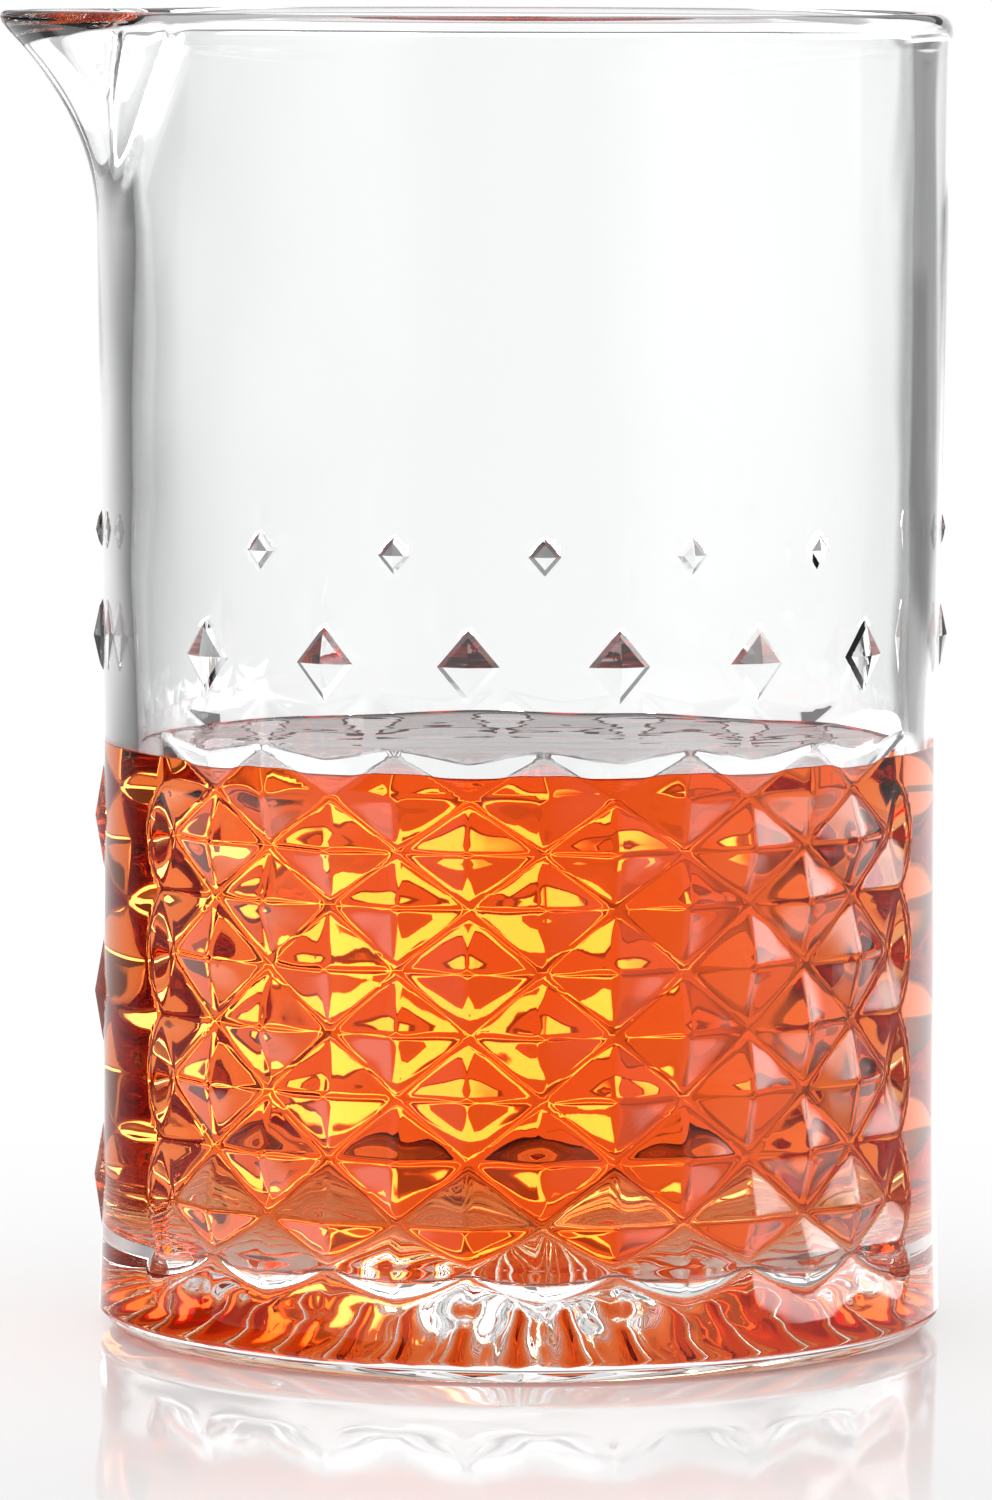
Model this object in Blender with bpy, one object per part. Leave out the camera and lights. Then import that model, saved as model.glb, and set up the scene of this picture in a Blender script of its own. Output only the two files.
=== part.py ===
"""Bar mixing glass: pressed glass with a pulled spout and a diamond relief, holding a drink.

Metres, +Z up. The origin lies on the axis of the glass, on the flat of its foot. The spout points
to -X, and the middle of the front diamond panel faces -Y. Angles round the glass are counted from
that panel's middle, positive towards +X.
"""
import math

import bmesh
import bpy

# Overall sizes
HEIGHT = 0.150                    # foot to the top of the rim
WAIST_RADIUS = 0.0476             # outside of the plain wall at the diamond band
RIM_FLARE = 0.0012                # how much wider the rim's radius is than the waist's
FLARE_POWER = 1.2                 # how late the wall starts to lean out
WALL = 0.0033                     # thickness of the plain wall at the diamond band
FLOOR = 0.0100                    # thickness of the heavy base
FLOOR_FILLET = 0.0085             # round inside corner between floor and wall
HEEL_RADIUS = 0.0022              # round outside corner of the foot
HEEL_FLARE = 0.0006               # how much wider the foot's radius is than the waist's
HEEL_FLARE_HEIGHT = 0.035         # height up to which the foot is wider

# Pouring spout, on the -X side
SPOUT_ANGLE = -90.0               # degrees from the front panel's middle
SPOUT_REACH = 0.0119              # how far the lip is pulled out
SPOUT_DEPTH = 0.0245              # height below the rim over which the wall bends out
SPOUT_POWER = 2.1                 # how sharply the bend grows towards the lip
SPOUT_HALF_ANGLE = 31.0           # degrees from the lip's tip to where the rim is round again
SPOUT_FOOT_HALF_ANGLE = 12.0      # the same, at the lower end of the channel

# Diamond relief: pyramids between diagonal valleys, pressed into the wall
COLUMNS_ROUND = 36                # columns of diamond tips in the whole turn
PANEL_COLUMNS = 6                 # columns on each side of a panel's middle
VALLEY_DEPTH = 0.0015             # valleys below the plain wall
TIP_RISE = 0.0002                 # diamond tips above the plain wall
BAND_BOTTOM = 0.0122              # lowest corners of the band
BOTTOM_STEP = 0.0050              # height of the lowest half row
ROW_STEP = 0.00703                # height of half a diamond
FULL_STEPS = 5                    # half rows of full height
TOP_STEPS = 3                     # half rows above them that grow smaller
TOP_STEP = 0.0061                 # height of the first of those
TOP_STEP_LOSS = 0.00033           # by how much each next one is lower
SCALLOP = 0.0014                  # how far the band's edge dips between two diamonds

# Single diamonds above the band and on the plain strips
LOWER_STUD_GAP = 0.0094           # band's top to the middle of the lower row
UPPER_STUD_GAP = 0.0121           # lower row to upper row
LOWER_STUD_SIZE = (0.0035, 0.0041, 0.0007)   # half width, half height, rise
UPPER_STUD_SIZE = (0.0018, 0.0021, 0.0004)
LOWER_STUD_COLUMNS = (-5, -3, -1, 1, 3, 5)
UPPER_STUD_COLUMNS = (-4, -2, 0, 2, 4)
STRIP_COLUMNS = (-COLUMNS_ROUND // 4, COLUMNS_ROUND // 4)   # the plain strips' middles
STRIP_STUD_SIZE = (0.0050, 0.0060, 0.0010)   # the diamonds beside the band, below the spout
STRIP_STUD_LEVELS = (1, 4, 7)     # the band's rows that have one, counted from the bottom

# The drink
DRINK_LEVEL = 0.0667              # surface above the foot
FIT_GAP = 0.0003                  # between the drink and the glass

# Facets
SEGMENTS = 2 * COLUMNS_ROUND      # two for each column of diamonds
ARC_STEPS = 4                     # in a quarter round
RIM_STEPS = 6                     # over the rim
SPOUT_RINGS = 7                   # in the height of the spout


def wall_radius(z):
    """Outside radius of the plain wall: straight at the band, leaning out above, wider at the foot."""
    above = max(0.0, (z - band_top()) / (HEIGHT - band_top()))
    below = max(0.0, 1.0 - z / HEEL_FLARE_HEIGHT)
    return WAIST_RADIUS + RIM_FLARE * above ** FLARE_POWER + HEEL_FLARE * below ** 2


def inside_radius():
    """Radius of the straight inside wall, so the wall grows thicker where the outside leans out."""
    return WAIST_RADIUS - WALL


def rim_round():
    """Radius of the full round over the rim: half of the wall's thickness there."""
    return (wall_radius(HEIGHT) - inside_radius()) / 2


def spout_pull(angle, z):
    """How far the spout carries the wall outwards at this angle and height."""
    rise = 1.0 - (HEIGHT - z) / SPOUT_DEPTH
    if rise <= 0.0:
        return 0.0
    half = SPOUT_FOOT_HALF_ANGLE + (SPOUT_HALF_ANGLE - SPOUT_FOOT_HALF_ANGLE) * rise
    away = abs((angle - SPOUT_ANGLE + 180.0) % 360.0 - 180.0) / half
    if away >= 1.0:
        return 0.0
    return SPOUT_REACH * rise ** SPOUT_POWER * math.cos(math.pi / 2 * away) ** 2


def band_levels():
    """Heights of the rows of diamond tips, with the band's two edges, from the bottom up."""
    steps = [BOTTOM_STEP] + [ROW_STEP] * FULL_STEPS
    steps += [TOP_STEP - TOP_STEP_LOSS * i for i in range(TOP_STEPS)]
    levels = [BAND_BOTTOM]
    for step in steps:
        levels.append(levels[-1] + step)
    return levels


def band_top():
    """Height of the band's upper edge."""
    return band_levels()[-1]


def panel_column(segment):
    """A segment's place from the middle of its panel, in half columns; the panels face -Y and +Y."""
    half_turn = SEGMENTS // 2
    return (segment + half_turn // 2) % half_turn - half_turn // 2


def is_tip(column, level, last):
    """True where a diamond has its tip: the top row has one on each panel's middle line."""
    return (column + level) % 2 == (last - 1) % 2


def lattice_relief(column, level, last):
    """Relief of a lattice point: tips and valley crossings alternate, and the band's edges are flush."""
    if level in (0, last):
        return 0.0
    return TIP_RISE if is_tip(column, level, last) else -VALLEY_DEPTH


def band_relief(segment, half_level, last):
    """Relief at a half step of the lattice: ridges run from tip to crossing, valleys straight across."""
    place = panel_column(segment)
    if abs(place) > 2 * PANEL_COLUMNS:
        return 0.0
    columns = {math.floor(place / 2), math.ceil(place / 2)}
    levels = {math.floor(half_level / 2), math.ceil(half_level / 2)}
    ends = [lattice_relief(c, l, last) for c in columns for l in levels
            if len(columns) + len(levels) < 4 or not is_tip(c, l, last)]
    return sum(ends) / len(ends)


def band_rings():
    """Rings of the diamond band, one for each half step of its rows, from the bottom up."""
    levels = band_levels()
    last = len(levels) - 1
    rings = []
    for half_level in range(2 * last + 1):
        lower = levels[half_level // 2]
        upper = levels[(half_level + 1) // 2]
        ring = []
        for segment in range(SEGMENTS):
            z = (lower + upper) / 2 + edge_dip(segment, half_level, 2 * last)
            relief = band_relief(segment, half_level, last)
            if 0 < half_level < 2 * last:
                relief += strip_stud_relief(segment, z, levels)
            ring.append((segment_angle(segment), z, relief))
        rings.append(ring)
    return rings


def edge_dip(segment, half_level, top):
    """The band's edges dip towards its middle between two diamonds, along a parabola."""
    place = panel_column(segment)
    if half_level not in (0, top) or abs(place) > 2 * PANEL_COLUMNS:
        return 0.0
    deepest_on_odd = half_level == top
    from_deepest = abs((place + (2 if deepest_on_odd else 0) + 2) % 4 - 2) / 2
    dip = SCALLOP * (1.0 - from_deepest ** 2)
    return -dip if half_level == top else dip


def strip_stud_relief(segment, z, levels):
    """Relief of the single diamonds on the strip below the spout: a pyramid round each tip."""
    half_width, half_height, rise = STRIP_STUD_SIZE
    turn = (segment_angle(segment) - SPOUT_ANGLE + 180.0) % 360.0 - 180.0
    across = abs(math.radians(turn)) * WAIST_RADIUS / half_width
    nearest = min(abs(z - levels[level]) for level in STRIP_STUD_LEVELS)
    return rise * max(0.0, 1.0 - across - nearest / half_height)


def stud_rings(middle, size, columns):
    """Three rings through a row of single diamonds: their lower corners, their tips, their upper corners."""
    half_width, half_height, rise = size
    spread = math.degrees(half_width / wall_radius(middle))
    tips = [2 * c % SEGMENTS for c in columns]
    tips += [(2 * c + SEGMENTS // 2) % SEGMENTS for c in columns]
    tips += [2 * c % SEGMENTS for c in STRIP_COLUMNS]
    tip_ring = []
    for segment in range(SEGMENTS):
        angle = segment_angle(segment)
        if (segment + 1) % SEGMENTS in tips:
            angle = segment_angle(segment + 1) - spread
        elif (segment - 1) % SEGMENTS in tips:
            angle = segment_angle(segment - 1) + spread
        tip_ring.append((angle, middle, rise if segment in tips else 0.0))
    return [plain_ring(middle - half_height), tip_ring, plain_ring(middle + half_height)]


def segment_angle(segment):
    """Angle of a segment's edge, in degrees from the front panel's middle."""
    return 360.0 / SEGMENTS * segment


def plain_ring(z):
    """A ring of the bare wall at one height."""
    return [(segment_angle(s), z, 0.0) for s in range(SEGMENTS)]


def place(angle, radius, z):
    """A point round the axis; angle 0 faces -Y and 90 faces +X."""
    turn = math.radians(angle)
    return (radius * math.sin(turn), -radius * math.cos(turn), z)


def spout_heights():
    """Heights of the rings that carry the spout, from its foot to where the rim's round begins."""
    foot = HEIGHT - SPOUT_DEPTH
    rim_start = HEIGHT - rim_round()
    return [foot + (rim_start - foot) * (i / SPOUT_RINGS) for i in range(SPOUT_RINGS + 1)]


def outside_rings():
    """Points of the outside, ring by ring: foot, heel, diamond band, single diamonds, spout."""
    foot = wall_radius(0.0) - HEEL_RADIUS
    rings = []
    for i in range(ARC_STEPS):
        turn = math.pi / 2 * i / ARC_STEPS
        radius = foot + HEEL_RADIUS * math.sin(turn)
        z = HEEL_RADIUS * (1.0 - math.cos(turn))
        rings.append([(*place(segment_angle(s), radius, z), 0.0) for s in range(SEGMENTS)])
    lower_row = band_top() + LOWER_STUD_GAP
    upper_row = lower_row + UPPER_STUD_GAP
    walls = [plain_ring(HEEL_RADIUS)] + band_rings()
    walls += stud_rings(lower_row, LOWER_STUD_SIZE, LOWER_STUD_COLUMNS)
    walls += stud_rings(upper_row, UPPER_STUD_SIZE, UPPER_STUD_COLUMNS)
    walls += [plain_ring(z) for z in spout_heights()]
    walls.sort(key=lambda ring: sum(z for _, z, _ in ring))
    for wall in walls:
        ring = []
        for angle, z, relief in wall:
            radius = wall_radius(z) + spout_pull(angle, z) + relief
            ring.append((*place(angle, radius, z), relief))
        rings.append(ring)
    return rings


def rim_rings():
    """Points over the round of the rim, from the outside to the inside."""
    half = rim_round()
    rings = []
    for i in range(1, RIM_STEPS):
        turn = math.pi * i / RIM_STEPS
        z = HEIGHT - half + half * math.sin(turn)
        ring = []
        for s in range(SEGMENTS):
            angle = segment_angle(s)
            radius = inside_radius() + half + half * math.cos(turn) + spout_pull(angle, z)
            ring.append((*place(angle, radius, z), 0.0))
        rings.append(ring)
    return rings


def inside_profile(gap):
    """Radius and height of the plain inside below the spout, from the floor up, moved in by a gap."""
    corner = FLOOR + FLOOR_FILLET
    centre = inside_radius() - FLOOR_FILLET
    profile = []
    for i in range(ARC_STEPS + 1):
        turn = math.pi / 2 * i / ARC_STEPS
        radius = centre + (FLOOR_FILLET - gap) * math.sin(turn)
        profile.append((radius, corner - (FLOOR_FILLET - gap) * math.cos(turn)))
    return profile


def inside_rings():
    """Points of the inside, from the rim down to the floor."""
    rings = []
    for z in reversed(spout_heights()):
        ring = []
        for s in range(SEGMENTS):
            angle = segment_angle(s)
            radius = inside_radius() + spout_pull(angle, z)
            ring.append((*place(angle, radius, z), 0.0))
        rings.append(ring)
    below = [(inside_radius(), DRINK_LEVEL)] + inside_profile(0.0)[::-1]
    for radius, z in below:
        rings.append([(*place(segment_angle(s), radius, z), 0.0) for s in range(SEGMENTS)])
    return rings


def drink_rings():
    """Points of the drink, from its floor up to its level surface, a gap away from the glass."""
    profile = inside_profile(FIT_GAP)
    profile.append((inside_radius() - FIT_GAP, DRINK_LEVEL))
    return [[(*place(segment_angle(s), radius, z), 0.0) for s in range(SEGMENTS)] for radius, z in profile]


def loft(name, rings, material):
    """Closed body through the rings; each cell is split along its lower diagonal, so valleys stay sharp."""
    bm = bmesh.new()
    corners = [[bm.verts.new(point[:3]) for point in ring] for ring in rings]
    for low, high in zip(range(len(rings) - 1), range(1, len(rings))):
        for s in range(SEGMENTS):
            t = (s + 1) % SEGMENTS
            a, b = corners[low][s], corners[low][t]
            c, d = corners[high][t], corners[high][s]
            rising = rings[low][s][3] + rings[high][t][3]
            falling = rings[low][t][3] + rings[high][s][3]
            if rising <= falling:
                bm.faces.new((a, b, c))
                bm.faces.new((a, c, d))
            else:
                bm.faces.new((a, b, d))
                bm.faces.new((b, c, d))
    bm.faces.new(corners[0])
    bm.faces.new(corners[-1])
    bmesh.ops.recalc_face_normals(bm, faces=bm.faces)
    mesh = bpy.data.meshes.new(name)
    bm.to_mesh(mesh)
    bm.free()
    mesh.shade_smooth()
    mesh.set_sharp_from_angle(angle=math.radians(14.0))
    mesh.materials.append(material)
    body = bpy.data.objects.new(name, mesh)
    bpy.context.scene.collection.objects.link(body)
    return body


def clear_material(name, colour, roughness, transmission, ior):
    """A Principled material for a clear substance."""
    material = bpy.data.materials.new(name)
    material.use_nodes = True
    shader = material.node_tree.nodes["Principled BSDF"]
    shader.inputs["Base Color"].default_value = (*colour, 1.0)
    shader.inputs["Roughness"].default_value = roughness
    shader.inputs["Metallic"].default_value = 0.0
    shader.inputs["Transmission Weight"].default_value = transmission
    shader.inputs["IOR"].default_value = ior
    return material


def main():
    for old in list(bpy.data.objects):
        bpy.data.objects.remove(old)
    glass = clear_material("clear_glass", (0.95, 0.97, 0.97), 0.02, 1.0, 1.52)
    orange = clear_material("orange_drink", (0.92, 0.22, 0.02), 0.05, 0.7, 1.35)
    loft("glass_body", outside_rings() + rim_rings() + inside_rings(), glass)
    loft("drink", drink_rings(), orange)


main()
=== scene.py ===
# %% [markdown]
# # A pressed mixing glass with an orange drink
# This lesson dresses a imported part: a straight bar glass with a pulled spout, a heavy foot and a
# band of pressed diamonds, half full of a clear orange drink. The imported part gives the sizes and
# the bodies. Here the glass and the drink are made again as fine surfaces, and get their materials.

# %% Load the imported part
import math

import bpy
import numpy as np
from mathutils import Matrix, Vector


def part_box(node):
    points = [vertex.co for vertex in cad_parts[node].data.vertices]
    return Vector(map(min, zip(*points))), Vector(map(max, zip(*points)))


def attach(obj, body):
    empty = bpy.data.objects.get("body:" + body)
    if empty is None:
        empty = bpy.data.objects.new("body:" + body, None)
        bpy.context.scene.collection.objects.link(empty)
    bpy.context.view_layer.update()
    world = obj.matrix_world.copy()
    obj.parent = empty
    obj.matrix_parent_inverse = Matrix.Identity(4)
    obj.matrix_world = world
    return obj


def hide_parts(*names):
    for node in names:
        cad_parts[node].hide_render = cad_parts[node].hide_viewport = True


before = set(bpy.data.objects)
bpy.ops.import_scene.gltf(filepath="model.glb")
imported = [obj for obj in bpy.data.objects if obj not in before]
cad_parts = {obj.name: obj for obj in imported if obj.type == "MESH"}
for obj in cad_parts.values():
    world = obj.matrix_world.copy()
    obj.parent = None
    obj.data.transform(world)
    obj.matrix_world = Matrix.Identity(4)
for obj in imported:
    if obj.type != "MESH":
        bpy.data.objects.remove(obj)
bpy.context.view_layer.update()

# %% [markdown]
# ## The camera
# The photograph was taken from about a metre away with a long lens, a little above the rim, so
# upright lines stay nearly parallel. Placing the camera by its distance, height and angles is
# easier to read than a matrix, and tilting it down, instead of shifting the lens, keeps other
# views centred.

# %% Camera
IMAGE_HEIGHT = 1500               # the photograph's long side, in pixels
FOCAL_PIXELS = 9362.0             # focal length in those pixels
CAMERA_DISTANCE = 1.0658          # from the axis of the glass, along the floor
CAMERA_HEIGHT = 0.1619            # above the floor
CAMERA_AZIMUTH = math.radians(-3.05)   # the camera stands a little to the left of the front
CAMERA_YAW = 0.00266              # turned a touch past the axis
CAMERA_PITCH = math.radians(5.154)     # looking down
CAMERA_ROLL = math.radians(0.197)
SENSOR = 36.0

heading = CAMERA_AZIMUTH + CAMERA_YAW
forward = Vector((-math.sin(heading) * math.cos(CAMERA_PITCH),
                  math.cos(heading) * math.cos(CAMERA_PITCH), -math.sin(CAMERA_PITCH)))
right = Vector((math.cos(heading), math.sin(heading), 0.0))
up = right.cross(forward)
right, up = (right * math.cos(CAMERA_ROLL) + up * math.sin(CAMERA_ROLL),
             up * math.cos(CAMERA_ROLL) - right * math.sin(CAMERA_ROLL))
camera_data = bpy.data.cameras.new("camera")
camera_data.sensor_width = SENSOR
camera_data.lens = SENSOR * FOCAL_PIXELS / IMAGE_HEIGHT
camera = bpy.data.objects.new("camera", camera_data)
camera.matrix_world = Matrix((
    (right.x, up.x, -forward.x, CAMERA_DISTANCE * math.sin(CAMERA_AZIMUTH)),
    (right.y, up.y, -forward.y, -CAMERA_DISTANCE * math.cos(CAMERA_AZIMUTH)),
    (right.z, up.z, -forward.z, CAMERA_HEIGHT), (0.0, 0.0, 0.0, 1.0)))
bpy.context.scene.collection.objects.link(camera)
bpy.context.scene.camera = camera
bpy.context.scene.view_settings.view_transform = "Standard"
print("lens", round(camera_data.lens, 1), "mm")

# %% [markdown]
# ## A closed surface from rings
# Both pieces are rings of points stacked along the glass: up the outside, over the rim and down
# the inside. One function turns such a stack into a closed mesh. Each four-cornered cell is cut
# into two triangles. The valleys and edges of pressed diamonds run diagonally and would look like
# stair steps if a cut crossed them, so each cell is cut along the diagonal that stays more level.

# %% Surface helper
LEVEL_ENOUGH = 1e-6                    # reliefs that differ by less count as equal


def closed_surface(name, points, relief):
    """Mesh through points[row, column, xyz], closed by a pole at each end.

    A cell's corners are a, b (this row) and d, c (next row). It is cut along the diagonal whose
    ends differ less in relief or, if both differ alike, along the lower one.
    """
    rows, columns, _ = points.shape
    index = np.arange(rows * columns).reshape(rows, columns)
    a, d = index[:-1], index[1:]
    b, c = np.roll(a, -1, axis=1), np.roll(d, -1, axis=1)
    flat = relief.ravel()
    steeper = np.abs(flat[b] - flat[d]) - np.abs(flat[a] - flat[c])
    lower = flat[a] + flat[c] <= flat[b] + flat[d]
    rising = np.where(np.abs(steeper) > LEVEL_ENOUGH, steeper > 0.0, lower)[..., None, None]
    cut_ac = np.stack([np.stack([a, b, c], -1), np.stack([a, c, d], -1)], -2)
    cut_bd = np.stack([np.stack([a, b, d], -1), np.stack([b, c, d], -1)], -2)
    walls = np.where(rising, cut_ac, cut_bd).reshape(-1, 3)
    first, last = index[0], index[-1]
    foot = np.stack([np.full(columns, rows * columns), np.roll(first, -1), first], -1)
    lid = np.stack([np.full(columns, rows * columns + 1), last, np.roll(last, -1)], -1)
    poles = np.stack([points[0].mean(0), points[-1].mean(0)])
    mesh = bpy.data.meshes.new(name)
    mesh.from_pydata(np.concatenate([points.reshape(-1, 3), poles]), [],
                     np.concatenate([walls, foot, lid]))
    mesh.update()
    mesh.shade_smooth()
    piece = bpy.data.objects.new(name, mesh)
    bpy.context.scene.collection.objects.link(piece)
    print(name, len(mesh.polygons), "triangles")
    return piece


# %% [markdown]
# ## The plain wall and the spout
# The wall is straight at the diamond band, leans out a little towards the rim and widens at the
# foot. While the glass was hot, its rim was pulled out at one side into a pouring spout. Both are
# formulas of the angle and the height, so every later surface can follow them.

# %% Wall and spout
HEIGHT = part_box("glass_body")[1].z     # foot to rim
WAIST_RADIUS = 0.0476                  # plain wall at the diamond band
RIM_FLARE = 0.0012                     # the rim is wider by this
FLARE_POWER = 1.2
HEEL_FLARE = 0.0006                    # the foot is wider by this
HEEL_FLARE_HEIGHT = 0.035
HEEL_RADIUS = 0.0022
HEEL_SHAPE = 1.8                       # 1 is a round heel, towards 2 it becomes a bevel
WALL = 0.0033
INSIDE_RADIUS = WAIST_RADIUS - WALL
SPOUT_ANGLE = -90.0
SPOUT_REACH = 0.0119
SPOUT_DEPTH = 0.0245
SPOUT_POWER = 2.1
SPOUT_HALF_ANGLE = 31.0
SPOUT_FOOT_HALF_ANGLE = 12.0
BAND_BOTTOM = 0.0122                   # lowest corners of the diamond band
ROW_STEPS = np.array([0.0050] + [0.00703] * 5 + [0.0061, 0.00577, 0.00544])
LEVELS = BAND_BOTTOM + np.concatenate([[0.0], np.cumsum(ROW_STEPS)])


def wall_radius(z):
    """Waist radius, plus the rim's flare by a power of the height above the band, plus the heel's."""
    above = np.clip((z - LEVELS[-1]) / (HEIGHT - LEVELS[-1]), 0.0, 1.0)
    below = np.clip(1.0 - z / HEEL_FLARE_HEIGHT, 0.0, 1.0)
    return WAIST_RADIUS + RIM_FLARE * above ** FLARE_POWER + HEEL_FLARE * below ** 2


def turned_to(angle, middle):
    """Degrees from a middle angle, between -180 and 180."""
    return (angle - middle + 180.0) % 360.0 - 180.0


def spout_pull(angle, z):
    """Reach times a power of the rise, times a squared cosine across the spout, which widens upwards."""
    rise = np.clip(1.0 - (HEIGHT - z) / SPOUT_DEPTH, 0.0, None)
    half = SPOUT_FOOT_HALF_ANGLE + (SPOUT_HALF_ANGLE - SPOUT_FOOT_HALF_ANGLE) * rise
    away = np.clip(np.abs(turned_to(angle, SPOUT_ANGLE)) / half, 0.0, 1.0)
    return SPOUT_REACH * rise ** SPOUT_POWER * np.cos(np.pi / 2 * away) ** 2


print("rim radius", round(float(wall_radius(HEIGHT)), 4), "band top", round(float(LEVELS[-1]), 4))

# %% [markdown]
# ## The pressed diamonds
# The mould cut V-shaped valleys along two sets of diagonals, which leaves a field of low pyramids.
# Count columns round the glass and rows up it: a tip lies where their sum is even. The height is
# then the larger of two triangle waves, one for each set of diagonals. At the band's edges the
# last valleys run out in curved crescents, and beside the panels in small hollow eyes.

# %% Diamond relief
COLUMN_PITCH = 10.0                    # degrees between columns of tips
PANEL_COLUMNS = 6                      # columns on each side of a panel's middle
VALLEY_DEPTH = 0.0015
EDGE_SHARE = 0.74                      # how far up its half row a crescent reaches
SOFTNESS = 0.010                       # rounding of tips and valleys
HIP_SOFTNESS = 0.06                    # rounding of the hips between two facets
BOW = 0.20                             # how much a facet sinks in between tip and valley
FADE_FROM = -0.4                       # the lowest row fades out between these levels
FADE_TO = -1.5
EYE_REACH = 3.8                        # degrees that an eye reaches past its panel


def triangle_wave(t):
    """0 at even numbers, 1 at odd ones, straight between, with corners rounded by an arc cosine."""
    return np.arccos((1.0 - SOFTNESS) * np.cos(np.pi * t)) / np.pi


def larger(a, b):
    """The larger of two heights, with the corner between them rounded by a root of squares."""
    return 0.5 * (a + b + np.sqrt((a - b) ** 2 + HIP_SOFTNESS ** 2) - HIP_SOFTNESS)


def panel_column(angle):
    """Columns from the middle of the nearer panel; the panels' middles face front and back."""
    return np.abs((angle + 90.0) % 180.0 - 90.0) / COLUMN_PITCH


def valley_share(column, level):
    """Depth between 0 (flush) and 1 (a valley crossing) in the panel."""
    field = larger(triangle_wave(column + level), triangle_wave(column - level))
    field = field * (1.0 + BOW * (1.0 - field))
    top, last = len(LEVELS) - 2, len(LEVELS) - 1
    across_top = triangle_wave(column)
    above = np.clip(level - top, 0.0, 1.0)
    crescent_top = across_top - np.maximum(0.0, across_top + above - 1.0) / EDGE_SHARE
    fade = np.clip((level - FADE_TO) / (FADE_FROM - FADE_TO), 0.0, 1.0)
    share = np.where(level > top, crescent_top, field * fade * fade * (3.0 - 2.0 * fade))
    return np.where(level >= last, 0.0, np.maximum(share, 0.0))


def diamond_relief(angle, z):
    """Valleys in the panel; beside it an eye that rises to the wall along a parabola."""
    column = panel_column(angle)
    below = np.minimum(0.0, (z - LEVELS[0]) / ROW_STEPS[0])
    level = np.interp(z, LEVELS, np.arange(len(LEVELS))) + below
    share = valley_share(np.minimum(column, PANEL_COLUMNS), level)
    past = np.maximum(0.0, column - PANEL_COLUMNS) * COLUMN_PITCH / EYE_REACH
    return -VALLEY_DEPTH * np.maximum(0.0, share - past / (2.0 - share))


print("rows at", [round(float(z) * 1000, 1) for z in LEVELS], "mm")

# %% [markdown]
# ## Single diamonds
# Above the band the pattern thins out into two rows of single pyramids, the upper ones smaller,
# and below the spout three large ones stand on the plain strip. A pyramid is a cone counted in
# steps instead of in a circle: one, less the share of its half width, less that of its half height.
# The mould gives the pyramids in the two rows a steep little border, which draws a bright or dark
# line round each of them.

# %% Stud relief
LOWER_STUDS = dict(z=LEVELS[-1] + 0.0094, border=1 / 5,
                   shape=dict(half_width=0.00347, half_height=0.0041, rise=0.0009))
UPPER_STUDS = dict(z=LOWER_STUDS["z"] + 0.0121, border=1 / 3,
                   shape=dict(half_width=0.00179, half_height=0.0021, rise=0.0005))
STRIP_STUDS = dict(half_width=0.0050, half_height=0.0060, rise=0.0010)
PLINTH = 1.1                           # how much steeper a pyramid's border is than its facets
LOWER_COLUMNS = (1, 3, 5, 9)
UPPER_COLUMNS = (0, 2, 4, 9)
STRIP_ROWS = (1, 4, 7)
FRONT_HALF_ANGLE = 100.0               # the front panel and both strips are pressed deep
FAR_SHARE = 0.12                       # the far panel's single diamonds are only faint


def stud(across, along, border, half_width, half_height, rise):
    """A four-sided pyramid: its rise times one less both shares, never below the wall.

    Within the border, which is a share too, the pyramid rises more steeply, as from a low plinth.
    """
    share = np.maximum(0.0, 1.0 - np.abs(across) / half_width - np.abs(along) / half_height)
    return rise * (share + PLINTH * np.minimum(share, border))


def stud_relief(angle, z):
    """All single diamonds together."""
    column = panel_column(angle)
    arc = math.radians(COLUMN_PITCH) * WAIST_RADIUS
    total = np.zeros_like(angle)
    front = np.abs(turned_to(angle, 0.0)) < FRONT_HALF_ANGLE
    pressed = np.where(front, 1.0, FAR_SHARE)
    for row, columns in ((LOWER_STUDS, LOWER_COLUMNS), (UPPER_STUDS, UPPER_COLUMNS)):
        border = front * row["border"]
        for middle in columns:
            across = (column - middle) * arc
            total += pressed * stud(across, z - row["z"], border, **row["shape"])
    beside = np.radians(turned_to(angle, SPOUT_ANGLE)) * WAIST_RADIUS
    for row in STRIP_ROWS:
        total += stud(beside, z - LEVELS[row], 0.0, **STRIP_STUDS)
    return total


print("studs at", round(LOWER_STUDS["z"], 4), "and", round(UPPER_STUDS["z"], 4))

# %% [markdown]
# ## Fire-polished walls
# A flame polishes the pressed glass once more, which leaves its surfaces a little wavy. That is
# what makes real glass lively: straight lines behind it bend. A few sine waves of different
# lengths are enough: long ones on both walls, shorter ones on the diamonds.

# %% Waves
STEPS = 12                             # grid cells for each column and each half row
COLUMNS = round(360 / COLUMN_PITCH) * STEPS
LONG_WAVE = 0.000012                   # height of one sine wave on the walls
FACET_WAVE = 0.000010                  # height of one sine wave on the diamonds
WAVE_FADE = 0.004                      # the diamonds' waves fade out over this height
angles = np.arange(COLUMNS) * 360.0 / COLUMNS


def ring_points(radius, z, angle=angles):
    """Points round the axis: angle 0 faces -Y and 90 faces +X."""
    turn = np.radians(angle)
    radius, z, turn = np.broadcast_arrays(radius, z, turn)
    return np.stack([radius * np.sin(turn), -radius * np.cos(turn), z], -1)


def long_waves(angle, z, seed):
    """A sum of low sine waves round and up the wall, a few hundredths of a millimetre high."""
    draw = np.random.default_rng(seed)
    turn = np.radians(angle)
    total = np.zeros(np.broadcast(angle, z).shape)
    for _ in range(7):
        around, upward = draw.integers(2, 16), draw.uniform(40.0, 260.0)
        total += np.sin(around * turn + upward * z + draw.uniform(0.0, 2 * np.pi))
    return total * LONG_WAVE


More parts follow.
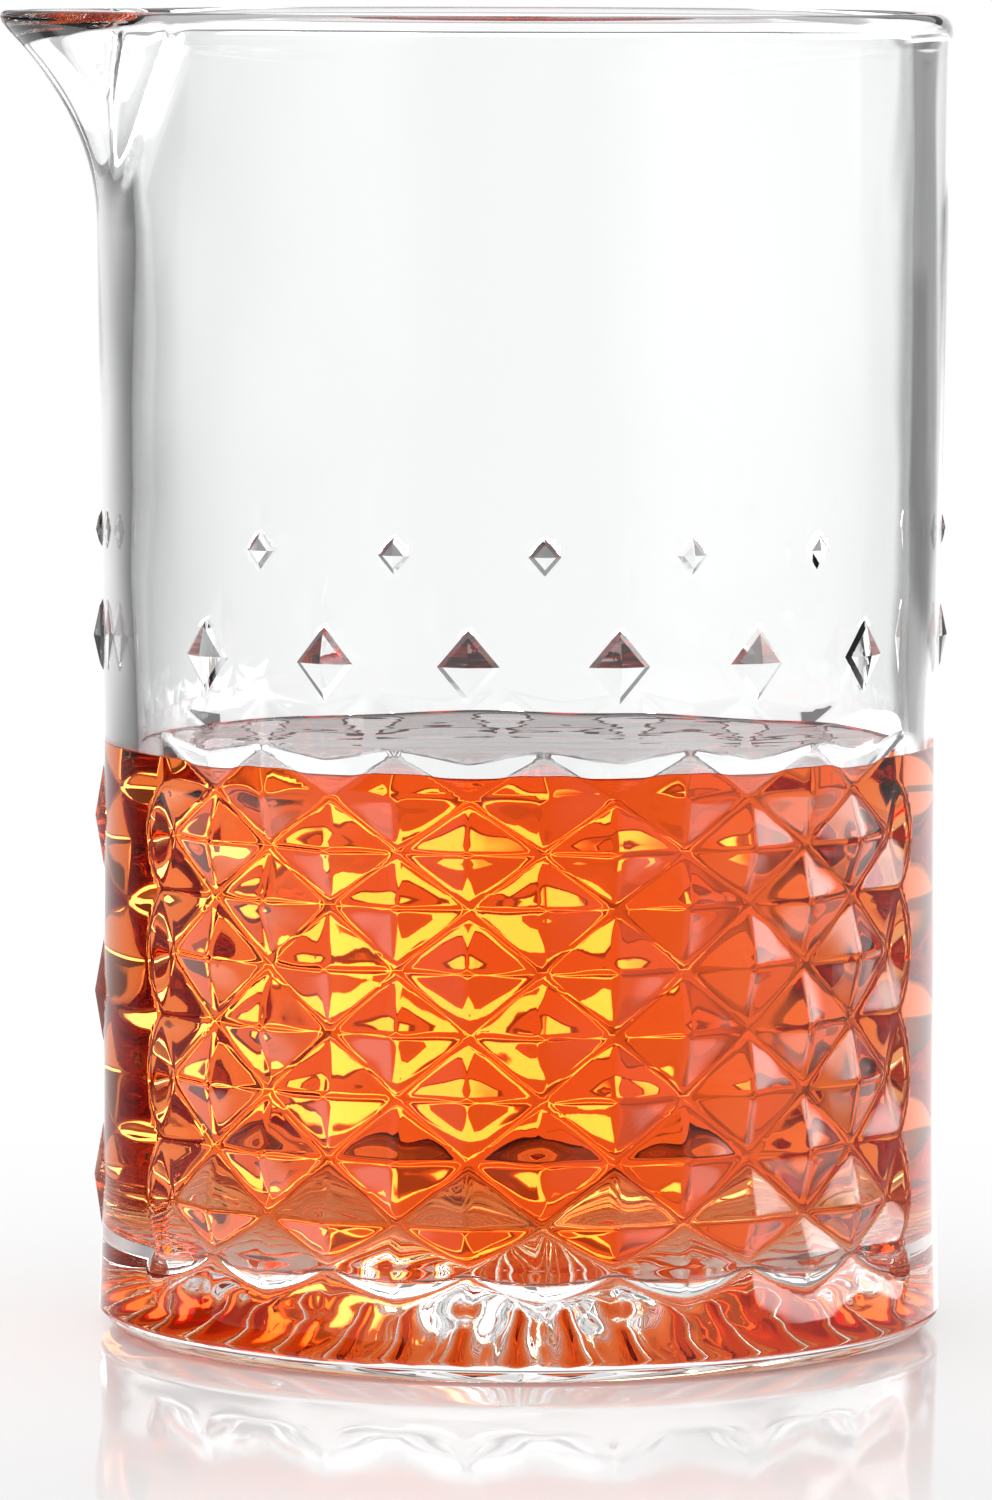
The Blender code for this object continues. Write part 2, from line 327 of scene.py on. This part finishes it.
def facet_waves(angle, z, seed):
    """Shorter sine waves on the diamonds, faded out towards the edges of their panel."""
    draw = np.random.default_rng(seed)
    turn = np.radians(angle)
    total = np.zeros(np.broadcast(angle, z).shape)
    for _ in range(9):
        around, upward = draw.integers(18, 48) * draw.choice([-1, 1]), draw.uniform(300.0, 900.0)
        total += np.sin(around * turn + upward * z + draw.uniform(0.0, 2 * np.pi))
    above = np.clip((z - LEVELS[0]) / WAVE_FADE, 0.0, 1.0)
    below = np.clip((LEVELS[-1] - z) / WAVE_FADE, 0.0, 1.0)
    inside = above * below * np.clip(PANEL_COLUMNS - panel_column(angle), 0.0, 1.0)
    return total * inside * FACET_WAVE


print(COLUMNS, "columns round the glass")

# %% [markdown]
# ## The star under the foot
# Many heavy glasses have a star of grooves pressed into the underside. It hides the mark of the
# mould and breaks up the light in the base. It is worked out as a depth over radius and angle, and
# lies in a shallow hollow, so that the glass stands on a plain ring.

# %% Star
STAR_RAYS = 36                         # radial grooves under the foot
STAR_RADIUS = 0.0410
STAR_END = 0.0120                      # length of a groove's sloping end
STAR_SLOPE = 0.070                     # depth of a groove for each unit of radius
STAR_TURN = -3.5                       # degrees from the panel's middle to a groove
STAR_STEP = 0.0014                     # the hollow's depth at its edge, once its end has risen
STAR_CONE = 0.0030                     # how much deeper the hollow gets up to the middle


def star_depth(radius, angle):
    """Depth of the star: a hollow that deepens as a cone, plus grooves, both ending in a ramp.

    A groove is a slope times the radius, times a raised cosine of the angle.
    """
    ray = 0.5 + 0.5 * np.cos(np.radians((angle - STAR_TURN) * STAR_RAYS))
    hollow = STAR_STEP + STAR_CONE * np.clip(1.0 - radius / STAR_RADIUS, 0.0, 1.0)
    ramp = np.clip((STAR_RADIUS - radius) / STAR_END, 0.0, 1.0)
    return (hollow + STAR_SLOPE * radius * ray) * ramp


print("star", round(1000 * STAR_RADIUS), "mm in radius,", STAR_RAYS, "grooves")

# %% [markdown]
# ## Rings up the outside
# A grid with twelve columns for each ten degrees and twelve rows for each half diamond lets every
# valley run exactly along the cells' diagonals. The rows of single diamonds get their own rings,
# with one more ring just above and below them, so that the smooth wall stays flat beside them. At
# the small diamonds the grid is squeezed sideways, so that their corners fall on it too.

# %% Outside rings
SUPPORT = 0.0004                       # rings that keep flat faces flat beside a round
SMALL_STUD_CELLS = 3                   # half a small diamond takes this many cells
SMALL_STUD_PITCH = 20.0                # degrees from one small diamond to the next


def stretch(parts):
    """Heights from a list of (start, end, steps), without the doubled joints."""
    runs = [np.linspace(start, end, steps, endpoint=False) for start, end, steps in parts]
    return np.concatenate(runs)


rim_round = (wall_radius(HEIGHT) - INSIDE_RADIUS) / 2
spout_foot, wall_top = HEIGHT - SPOUT_DEPTH, HEIGHT - rim_round
fade_foot = LEVELS[0] + FADE_TO * ROW_STEPS[0]
wall_parts = [(HEEL_RADIUS, HEEL_RADIUS + SUPPORT, 1), (HEEL_RADIUS + SUPPORT, fade_foot, 2),
              (fade_foot, LEVELS[0], 9)]
wall_parts += [(low, high, STEPS) for low, high in zip(LEVELS[:-1], LEVELS[1:])]
wall_parts += [(LEVELS[-1], LEVELS[-1] + SUPPORT, 1)]
last_z = LEVELS[-1] + SUPPORT
for row, cells in ((LOWER_STUDS, 10), (UPPER_STUDS, 6)):
    low = row["z"] - row["shape"]["half_height"]
    high = row["z"] + row["shape"]["half_height"]
    wall_parts += [(last_z, low - SUPPORT, 2), (low - SUPPORT, low, 1), (low, high, cells),
                   (high, high + SUPPORT, 1)]
    last_z = high + SUPPORT
wall_parts += [(last_z, spout_foot, 5), (spout_foot, wall_top, 15)]
heights = stretch(wall_parts)[:, None]
turns = angles[None, :] + 0.0 * heights

from_stud = turned_to(turns, np.round(turns / SMALL_STUD_PITCH) * SMALL_STUD_PITCH)
cell = 360.0 / COLUMNS
half_stud = math.degrees(UPPER_STUDS["shape"]["half_width"] / WAIST_RADIUS)
reach = 2 * SMALL_STUD_CELLS * cell
squeezed = np.sign(from_stud) * np.interp(np.abs(from_stud), [0, SMALL_STUD_CELLS * cell, reach],
                                          [0, half_stud, reach])
in_row = np.abs(heights - UPPER_STUDS["z"]) < 0.99 * UPPER_STUDS["shape"]["half_height"]
turns = np.where(in_row & (np.abs(from_stud) < reach), turns - from_stud + squeezed, turns)

relief = diamond_relief(turns, heights) + stud_relief(turns, heights)
outer_radius = wall_radius(heights) + spout_pull(turns, heights) + relief
outer_radius += long_waves(turns, heights, 3)
outer_radius += facet_waves(turns, heights, 5)
outside = ring_points(outer_radius, heights, turns)
print(len(heights), "rings up the outside")

# %% [markdown]
# ## Foot, heel, rim and hollow
# The rest of the glass is turned: the foot with its star, a heel that is more a bevel than a
# round, the rim that was melted round, and the hollow with a heavy floor. The spout pulls rim and
# inside along. The rings of the wetted part start where the drink's surface meets the wall.

# %% Turned rings
FLOOR = 0.0108
FLOOR_FILLET = 0.0032
MENISCUS_RISE = 0.0003
MENISCUS_LENGTH = 0.0008
DRINK_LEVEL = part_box("drink")[1].z
CONTACT = DRINK_LEVEL + MENISCUS_RISE
STAR_RINGS = np.array([0.1, 0.3, 0.6, 0.9, 1.0])   # shares of the radius where the ends begin


def quarter(steps):
    """Angles of a quarter round, in radians."""
    return np.linspace(0.0, np.pi / 2, steps)


foot_radius = wall_radius(0.0) - HEEL_RADIUS
star_radius = np.concatenate([(STAR_RADIUS - STAR_END) * STAR_RINGS,
                              np.linspace(STAR_RADIUS - STAR_END, STAR_RADIUS, 9)[1:],
                              [STAR_RADIUS + SUPPORT, foot_radius - SUPPORT]])[:, None]
foot = ring_points(star_radius, star_depth(star_radius, angles[None]))
bend = quarter(7)[:-1]
heel = ring_points((foot_radius + HEEL_RADIUS * np.sin(bend) ** HEEL_SHAPE)[:, None],
                   (HEEL_RADIUS * (1.0 - np.cos(bend) ** HEEL_SHAPE))[:, None])
over = np.linspace(0.0, np.pi, 10)
rim_z = (wall_top + rim_round * np.sin(over))[:, None]
rim_radius = (INSIDE_RADIUS + rim_round + rim_round * np.cos(over))[:, None]
rim = ring_points(rim_radius + spout_pull(angles[None], rim_z), rim_z)
inner_parts = [(wall_top, spout_foot, 13), (spout_foot, CONTACT, 6),
               (CONTACT, FLOOR + FLOOR_FILLET, 6)]
inner_z = stretch(inner_parts)[1:, None]
inner_radius = INSIDE_RADIUS + spout_pull(angles[None], inner_z)
inside = ring_points(inner_radius + long_waves(angles[None], inner_z, 8), inner_z)
hollow = quarter(7)
cup = ring_points((INSIDE_RADIUS - FLOOR_FILLET + FLOOR_FILLET * np.cos(hollow))[:, None],
                  (FLOOR + FLOOR_FILLET - FLOOR_FILLET * np.sin(hollow))[:, None])
flat_radius = np.array([[INSIDE_RADIUS - FLOOR_FILLET - SUPPORT], [0.4 * INSIDE_RADIUS]])
floor_rings = ring_points(flat_radius, np.full((2, 1), FLOOR))
print("rings: foot", len(foot), "heel", len(heel), "rim", len(rim), "inside", len(inside) + len(cup))

# %% [markdown]
# ## One piece of glass
# All rings are joined into one closed mesh, because the real glass is one piece. The facets of the
# single diamonds are shaded flat, so that their edges stay crisp. Everything else is shaded smooth,
# which rounds the edges in the panels a little, as the flame did.

# %% Glass body
stack = [foot, heel, outside, rim, inside, cup, floor_rings]
all_relief = [np.zeros(part.shape[:2]) for part in stack]
all_relief[2] = relief
all_relief = np.concatenate(all_relief)
glass = closed_surface("mixing_glass", np.concatenate(stack), all_relief)
corner = np.empty(3 * len(glass.data.polygons), dtype=np.int32)
glass.data.polygons.foreach_get("vertices", corner)
corner_relief = np.concatenate([all_relief.ravel(), [0.0, 0.0]])[corner].reshape(-1, 3)
raised = corner_relief.max(1) > LEVEL_ENOUGH
glass.data.polygons.foreach_set("use_smooth", ~raised)
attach(glass, "root")
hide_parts("glass_body")
print("flat facets", int(raised.sum()))

# %% [markdown]
# ## The drink
# A drink in a glass has no air between itself and the wall, so its sides show no gleam of their
# own. Its body is turned a hair wider than the hollow, and its surface climbs the wall in a small
# rim, the meniscus, by an exponential of the distance from the wall.

# %% Drink body
OVERLAP = 0.00004                      # how far the drink reaches into the glass

drink_radius = INSIDE_RADIUS + OVERLAP
shell = FLOOR_FILLET + OVERLAP
climb = quarter(9)
bowl_r = INSIDE_RADIUS - FLOOR_FILLET + shell * np.sin(climb)
bowl_z = FLOOR + FLOOR_FILLET - shell * np.cos(climb)
side_z = np.linspace(bowl_z[-1], CONTACT, 8)[1:]
from_wall = INSIDE_RADIUS * np.linspace(0.0, 1.0, 40)[1:-1] ** 2.2
top_z = DRINK_LEVEL + MENISCUS_RISE * np.exp(-from_wall / MENISCUS_LENGTH)
profile_r = np.concatenate([[0.5 * bowl_r[0], bowl_r[0] - SUPPORT], bowl_r,
                            np.full(len(side_z), drink_radius), drink_radius - from_wall])
profile_z = np.concatenate([[bowl_z[0], bowl_z[0]], bowl_z, side_z, top_z])
wet_rows = 2 + len(bowl_r) + len(side_z)
drink_angles = angles[::2]
drink_points = ring_points(profile_r[:, None], profile_z[:, None], drink_angles[None])
drink = closed_surface("orange_drink", drink_points, np.zeros(drink_points.shape[:2]))
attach(drink, "root")
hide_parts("drink")
print("drink's surface", round(float(DRINK_LEVEL), 4), "meets the wall at", round(float(CONTACT), 4))

# %% [markdown]
# ## Materials
# Clear glass bends light by its index, about 1.52, and the drink by about 1.34. Where they touch,
# light meets the step from one to the other, so the wetted inside of the glass has the ratio of
# the two, and the drink's sides have no step left. The drink's colour comes from absorption: green
# is taken away over a few centimetres and blue at once.

# %% Node helper


def add(tree, kind, inputs=None, **settings):
    """A node with its settings and inputs; an input that is a socket is linked."""
    node = tree.nodes.new(kind)
    for key, value in settings.items():
        setattr(node, key, value)
    for key, value in (inputs or {}).items():
        if isinstance(value, bpy.types.NodeSocket):
            tree.links.new(value, node.inputs[key])
        else:
            node.inputs[key].default_value = value
    return node


def between(tree, value, low, high, at_low=0.0, at_high=1.0, kind="LINEAR"):
    """A value that goes from at_low to at_high while another goes from low to high."""
    return add(tree, "ShaderNodeMapRange", {
        "Value": value, "From Min": low, "From Max": high, "To Min": at_low, "To Max": at_high},
        interpolation_type=kind).outputs["Result"]


def reckon(tree, operation, *values):
    """The result of one Math node."""
    return add(tree, "ShaderNodeMath", dict(enumerate(values)), operation=operation).outputs[0]


print("node helpers", add.__name__, between.__name__, reckon.__name__)

# %% [markdown]
# ## Uneven clear surfaces
# A clear surface is never quite even. Glass that was polished by a flame keeps soft dimples and a
# breath of haze where it was touched, and a drink that has just been stirred still ripples. One
# node group makes both from two noises, and each material sets how wide and how strong they are.

# %% Clear surface group
CLEAN_BELOW, HAZY_ABOVE = 0.45, 0.75   # the noise's values between which the haze grows
SURFACE_IN = {"Place": "NodeSocketVector", "Waves per Metre": "NodeSocketFloat",
              "Haze per Metre": "NodeSocketFloat", "Haze": "NodeSocketFloat"}
clear_surface = bpy.data.node_groups.new("clear_surface", "ShaderNodeTree")
for name, kind in SURFACE_IN.items():
    clear_surface.interface.new_socket(name, in_out="INPUT", socket_type=kind)
for name in ("Height", "Roughness"):
    clear_surface.interface.new_socket(name, in_out="OUTPUT", socket_type="NodeSocketFloat")
given = add(clear_surface, "NodeGroupInput").outputs
waves = add(clear_surface, "ShaderNodeTexNoise", {
    "Vector": given["Place"], "Scale": given["Waves per Metre"],
    "Detail": 1.0, "Roughness": 0.4}).outputs[0]
smears = add(clear_surface, "ShaderNodeTexNoise", {
    "Vector": given["Place"], "Scale": given["Haze per Metre"],
    "Detail": 4.0, "Roughness": 0.6}).outputs[0]
hazy = between(clear_surface, smears, CLEAN_BELOW, HAZY_ABOVE, 0.0, given["Haze"])
add(clear_surface, "NodeGroupOutput", {"Height": waves, "Roughness": hazy})
print("clear surface group", len(clear_surface.nodes), "nodes")

# %% [markdown]
# ## Clear glass and orange drink
# Four materials share one recipe: the outside of the glass, its wetted inside, the drink's sides
# and the drink's surface. They differ in index, in colour and in how their surfaces wave.

# %% Clear materials
GLASS_INDEX = 1.52
DRINK_INDEX = 1.34
HAZE_PER_WAVE = 3.0                    # the haze is finer than the waves by this


def clear_material(name, index, colour, drawn_out, waves, height, haze):
    """A see-through material; its waves, so many per metre, tilt the light by their height."""
    material = bpy.data.materials.new(name)
    material.use_nodes = True
    tree = material.node_tree
    place = add(tree, "ShaderNodeTexCoord").outputs["Object"]
    place = add(tree, "ShaderNodeMapping", {"Vector": place, "Scale": drawn_out}).outputs[0]
    uneven = add(tree, "ShaderNodeGroup", node_tree=clear_surface)
    tree.links.new(place, uneven.inputs["Place"])
    for key, value in {"Waves per Metre": waves, "Haze per Metre": HAZE_PER_WAVE * waves,
                       "Haze": haze}.items():
        uneven.inputs[key].default_value = value
    bump = add(tree, "ShaderNodeBump", {"Height": uneven.outputs["Height"], "Distance": height,
                                        "Strength": 1.0})
    shader = tree.nodes["Principled BSDF"]
    for key, value in {"Base Color": (*colour, 1.0), "Metallic": 0.0, "IOR": index,
                       "Transmission Weight": 1.0}.items():
        shader.inputs[key].default_value = value
    tree.links.new(uneven.outputs["Roughness"], shader.inputs["Roughness"])
    tree.links.new(bump.outputs[0], shader.inputs["Normal"])
    return material


def fill_with_colour(material, colour, density):
    """Absorption inside: each colour fades by its missing share times the density times the way."""
    tree = material.node_tree
    inside_colour = add(tree, "ShaderNodeVolumeAbsorption", {"Color": (*colour, 1.0),
                                                             "Density": density})
    tree.links.new(inside_colour.outputs[0], tree.nodes["Material Output"].inputs["Volume"])


ORANGE = (0.97, 0.59, 0.20)
ORANGE_DENSITY = 70.0
GLASS_TINT = (0.99, 0.995, 0.995)
CLEAR = (1.0, 1.0, 1.0)
UPRIGHT = (1.0, 1.0, 0.4)              # dimples drawn out upwards by the mould
ALONG = (0.5, 1.6, 1.0)                # ripples drawn out sideways
DIMPLES = (110.0, 0.000015, 0.012)     # waves per metre, their height, and the haze
RIPPLES = (90.0, 0.00015, 0.010)
WET_INDEX = GLASS_INDEX / DRINK_INDEX
clear_glass = clear_material("clear_glass", GLASS_INDEX, GLASS_TINT, UPRIGHT, *DIMPLES)
wetted_glass = clear_material("wetted_glass", WET_INDEX, GLASS_TINT, UPRIGHT, *DIMPLES)
drink_surface = clear_material("drink_surface", DRINK_INDEX, CLEAR, ALONG, *RIPPLES)
drink_side = clear_material("drink_side", 1.0, CLEAR, UPRIGHT, *DIMPLES)
for liquid in (drink_surface, drink_side):
    fill_with_colour(liquid, ORANGE, ORANGE_DENSITY)
print("materials", [m.name for m in (clear_glass, wetted_glass, drink_surface, drink_side)])

# %% [markdown]
# ## Which face gets which material
# Faces were made ring by ring, so a face's number tells its ring. Rings below the line where the
# drink meets the wall are wetted, and the drink's rings above its sides are its surface.

# %% Faces and materials


def assign(piece, materials, faces_of_second):
    """Two materials on one piece; a mask over its faces picks the second."""
    for material in materials:
        piece.data.materials.append(material)
    piece.data.polygons.foreach_set("material_index", faces_of_second.astype(np.int32))


def face_rows(rows, columns):
    """The row of each face in a closed surface; the two poles' faces count as the first and last."""
    walls = np.repeat(np.arange(rows - 1), 2 * columns)
    return np.concatenate([walls, np.full(columns, -1), np.full(columns, rows)])


glass_rows = sum(len(part) for part in stack)
inside_row = sum(len(part) for part in stack[:4])
contact_row = inside_row + inner_parts[0][2] - 1 + inner_parts[1][2]
wetted = face_rows(glass_rows, COLUMNS) >= contact_row
assign(glass, (clear_glass, wetted_glass), wetted)
on_top = face_rows(len(profile_r), len(drink_angles)) >= wet_rows - 1
assign(drink, (drink_side, drink_surface), on_top)
contact_z = float(inner_z[contact_row - inside_row][0])
print("wetted from ring", contact_row, "of", glass_rows, "height", round(contact_z, 4))

# %% [markdown]
# ## The table
# The glass stands on a white table, which is a round disc here. It fades out towards its edge, so
# that no horizon shows, and it keeps the soft shadow of the glass. A finished table is also a
# little polished, so the foot of the glass mirrors in it.

# %% Table disc
TABLE_RADIUS = 0.45
TABLE_DROP = 0.0002                    # keeps the table clear of the flat foot
TABLE_SIDES = 96
TABLE_RINGS = 11

table_turn = np.linspace(0.0, 2 * np.pi, TABLE_SIDES + 1)[:-1]
table_r = TABLE_RADIUS * np.linspace(0.0, 1.0, TABLE_RINGS + 1)[1:, None]
table_xy = np.stack([table_r * np.cos(table_turn), table_r * np.sin(table_turn)], -1).reshape(-1, 2)
table_points = np.concatenate([np.zeros((1, 2)), table_xy])
table_points = np.concatenate([table_points, np.full((len(table_points), 1), -TABLE_DROP)], 1)
ring = 1 + np.arange(TABLE_RINGS * TABLE_SIDES).reshape(TABLE_RINGS, TABLE_SIDES)
fan = np.stack([np.zeros(TABLE_SIDES, int), ring[0], np.roll(ring[0], -1)], -1)
quads = np.stack([ring[:-1], ring[1:], np.roll(ring[1:], -1, 1), np.roll(ring[:-1], -1, 1)], -1)
table_mesh = bpy.data.meshes.new("table")
table_mesh.from_pydata(table_points, [], fan.tolist() + quads.reshape(-1, 4).tolist())
table_mesh.update()
table = bpy.data.objects.new("table", table_mesh)
bpy.context.scene.collection.objects.link(table)
print("table", len(table_mesh.polygons), "faces")

# %% [markdown]
# Seen through the glass, the table under it has painted shade, a darker grey, and a stronger painted
# glow, as of the light that a clear object gathers on paper. Rays that come through the glass but
# miss this spot pass the table, so that the glass shows the studio below and beside it.

# %% Table material
REFLECTED_SHARE = 0.10                 # how much of a light shows after a reflection in the glass
TABLE_COLOUR = (0.8, 0.8, 0.8, 1.0)
# painted shade: seen through the glass, the table under it is a darker grey
UNDER_GLASS_PAINTED_SHADE = (0.5, 0.5, 0.5, 1.0)    # under the glass
# the first glow keeps the table evenly white; the second is a painted glow of gathered light under the
# glass
TABLE_GLOW, UNDER_GLASS_PAINTED_GLOW = 0.22, 0.40
WHITE = (1.0, 1.0, 1.0, 1.0)

table_white = bpy.data.materials.new("table_white")
table_white.use_nodes = True
tree = table_white.node_tree
tree.nodes.clear()
place = add(tree, "ShaderNodeTexCoord").outputs["Object"]
distance = add(tree, "ShaderNodeVectorMath", {0: place}, operation="LENGTH").outputs["Value"]
path = add(tree, "ShaderNodeLightPath").outputs
seen_through = path["Is Transmission Ray"]
# painted shade and a painted glow on the spot under the glass, only for rays seen through the glass
under_glass = reckon(tree, "MULTIPLY", between(tree, distance, 0.044, 0.052, 1.0, 0.0), seen_through)
table_colour_and_painted_shade = add(tree, "ShaderNodeMix", {0: under_glass, 6: TABLE_COLOUR, 7: UNDER_GLASS_PAINTED_SHADE},
           data_type="RGBA").outputs[2]
# emission: the table's even glow, with a stronger painted glow under the glass
table_glow_and_painted_light = between(tree, under_glass, 0.0, 1.0, TABLE_GLOW, UNDER_GLASS_PAINTED_GLOW)
first_sight = between(tree, path["Glossy Depth"], 0.0, 1.0, 1.0, REFLECTED_SHARE)
table_glow_and_painted_light = reckon(tree, "MULTIPLY", table_glow_and_painted_light, first_sight)
paint = add(tree, "ShaderNodeBsdfDiffuse", {"Color": table_colour_and_painted_shade}).outputs[0]
glow = add(tree, "ShaderNodeEmission", {"Color": WHITE, "Strength": table_glow_and_painted_light}).outputs[0]
lit = add(tree, "ShaderNodeAddShader", {0: paint, 1: glow}).outputs[0]
gloss = add(tree, "ShaderNodeBsdfGlossy", {"Color": WHITE, "Roughness": 0.06}).outputs[0]
near_glass = between(tree, distance, 0.05, 0.19, 1.0, 0.0)
fresnel = add(tree, "ShaderNodeFresnel", {"IOR": 1.45}).outputs[0]
polish = reckon(tree, "MULTIPLY", near_glass, fresnel)
polished = add(tree, "ShaderNodeMixShader", {0: polish, 1: lit, 2: gloss}).outputs[0]
seen_in_glass = reckon(tree, "MAXIMUM", path["Is Glossy Ray"], seen_through)
passed = reckon(tree, "MULTIPLY", between(tree, distance, 0.046, 0.052), seen_in_glass)
fade = reckon(tree, "MAXIMUM", between(tree, distance, 0.30, 0.44), passed)
clear = add(tree, "ShaderNodeBsdfTransparent").outputs[0]
surface = add(tree, "ShaderNodeMixShader", {0: fade, 1: polished, 2: clear}).outputs[0]
add(tree, "ShaderNodeOutputMaterial", {"Surface": surface})
table.data.materials.append(table_white)
print("table material", len(tree.nodes), "nodes")

# %% [markdown]
# ## The studio
# Glass has no colour of its own, so what it shows is the room. The camera sees a plain white
# backdrop. In the glass there are panels round it, each a soft window in azimuth and elevation:
# the backdrop ends in darker sides, which draw the edges of the glass; a bright panel behind
# lights the drink; and large soft boxes at the sides lie as pale sheets on the facets.

# %% Studio panels
ROOM = 0.06                            # the dark room behind the camera
BACKDROP_LEFT, BACKDROP_RIGHT = -45.0, 6.0   # the backdrop brightens between these azimuths
BACKDROP_LEFT_LIGHT = 0.10
BACKDROP_LIGHT = 1.12
# azimuth from straight behind, its half width and softness; elevation, half height, softness; light
PANELS = {
    "surround": (0.0, 160.0, 25.0, 0.0, 91.0, 1.0, 0.50),
    "left_low": (-95.0, 35.0, 10.0, -38.0, 16.0, 4.0, 2.5),
    "right_low": (95.0, 35.0, 10.0, -38.0, 16.0, 4.0, 2.5),
    "left_shadow": (-81.5, 73.5, 5.0, -5.0, 3.5, 1.0, 0.03),
    "under_table": (0.0, 32.0, 6.0, -62.0, 30.0, 3.0, 0.04),
    "table": (0.0, 80.0, 20.0, -22.0, 11.0, 2.0, 1.15),
    "upper_backdrop": (3.0, 80.0, 20.0, 22.0, 24.0, 4.0, 0.85),
    "high_backdrop": (3.0, 58.0, 10.0, 5.0, 6.0, 1.5, 1.05),
    "shade": (0.0, 45.0, 5.0, -11.0, 1.6, 0.5, 0.30),
    "seam": (0.0, 60.0, 5.0, 11.8, 2.4, 0.5, 0.20),
    "backdrop": (-12.0, 36.0, 5.0, -4.0, 6.2, 1.5, None),
    "right_edge": (37.0, 16.0, 6.0, -1.4, 3.6, 0.5, 0.22),
    "back_panel": (24.0, 30.0, 5.0, -6.9, 2.2, 0.5, 10.0),
    "right_box": (76.0, 32.0, 12.0, 20.0, 16.0, 4.0, 6.6),
    "left_box": (-100.0, 25.0, 4.0, 18.0, 18.0, 4.0, 0.3),
    "top_box": (0.0, 200.0, 1.0, 80.0, 25.0, 5.0, 1.5),
}


def soft_window(tree, value, middle, half, softness):
    """1 within half of the middle, fading to 0 over the softness."""
    away = reckon(tree, "ABSOLUTE", reckon(tree, "SUBTRACT", value, middle))
    return between(tree, away, half - softness, half, 1.0, 0.0, "SMOOTHSTEP")


world = bpy.data.worlds.new("studio")
bpy.context.scene.world = world
world.use_nodes = True
tree = world.node_tree
tree.nodes.clear()
direction = add(tree, "ShaderNodeTexCoord").outputs["Generated"]
axis = add(tree, "ShaderNodeSeparateXYZ", {0: direction}).outputs
azimuth = reckon(tree, "DEGREES", reckon(tree, "ARCTAN2", axis["X"], axis["Y"]))
elevation = reckon(tree, "DEGREES", reckon(tree, "ARCSINE", axis["Z"]))
rays = add(tree, "ShaderNodeLightPath").outputs
print("studio panels", list(PANELS))

# %% [markdown]
# Some panels are meant for one thing only. The light behind the drink would sparkle everywhere if
# it also showed after reflections inside the glass. The dark at the left belongs to the gleam on
# the outside, the dark below to what is seen through the drink, and two dark seams to the single
# diamonds above it. At the sides and below, plain clear glass shows the white room.

# %% Studio light
CLEAR_WALLS = 4.5                      # light that crosses more surfaces went through the drink
CLEAR_LIGHT = 0.95                     # what clear glass shows at the sides and below
SIDES = (58.0, 70.0)                   # azimuths between which the sides begin
BELOW = (-34.0, -38.0)                 # elevations between which the room below begins
LIGHT_BOUNCES = 40                     # glass in glass needs many
GLEAM_BOUNCES = 20

backdrop_light = between(tree, azimuth, BACKDROP_LEFT, BACKDROP_RIGHT,
                         BACKDROP_LEFT_LIGHT, BACKDROP_LIGHT, "SMOOTHSTEP")
direct = between(tree, rays["Glossy Depth"], 0.0, 1.0, 1.0, REFLECTED_SHARE)
through_drink = reckon(tree, "GREATER_THAN", rays["Transmission Depth"], CLEAR_WALLS)
past_drink = reckon(tree, "SUBTRACT", 1.0, through_drink)
only = {"back_panel": direct, "under_table": through_drink, "left_shadow": rays["Is Glossy Ray"],
        "shade": past_drink, "seam": past_drink}
level = ROOM
for name, (turn, half_turn, turn_soft, rise, half_rise, rise_soft, light) in PANELS.items():
    across = soft_window(tree, azimuth, turn, half_turn, turn_soft)
    upward = soft_window(tree, elevation, rise, half_rise, rise_soft)
    mask = reckon(tree, "MULTIPLY", across, upward)
    if name in only:
        mask = reckon(tree, "MULTIPLY", mask, only[name])
    light = backdrop_light if light is None else light
    level = add(tree, "ShaderNodeMix", {0: mask, 2: level, 3: light}, data_type="FLOAT").outputs[0]
sideways = between(tree, reckon(tree, "ABSOLUTE", azimuth), *SIDES)
around = reckon(tree, "MAXIMUM", sideways, between(tree, elevation, *BELOW))
not_plain = reckon(tree, "MAXIMUM", rays["Glossy Depth"], through_drink)
plain = between(tree, not_plain, 0.0, 1.0, 1.0, 0.0)
around = reckon(tree, "MULTIPLY", around, plain)
level = add(tree, "ShaderNodeMix", {0: around, 2: level, 3: CLEAR_LIGHT}, data_type="FLOAT").outputs[0]
seen_in_glass = reckon(tree, "MAXIMUM", rays["Is Glossy Ray"], rays["Is Transmission Ray"])
strength = add(tree, "ShaderNodeMix", {0: seen_in_glass, 2: 1.0, 3: level}, data_type="FLOAT").outputs[0]
sky = add(tree, "ShaderNodeBackground", {"Color": WHITE, "Strength": strength}).outputs[0]
add(tree, "ShaderNodeOutputWorld", {"Surface": sky})
bounces = bpy.context.scene.cycles
bounces.max_bounces = bounces.transmission_bounces = LIGHT_BOUNCES
bounces.glossy_bounces = GLEAM_BOUNCES
print("studio light", len(tree.nodes), "nodes")
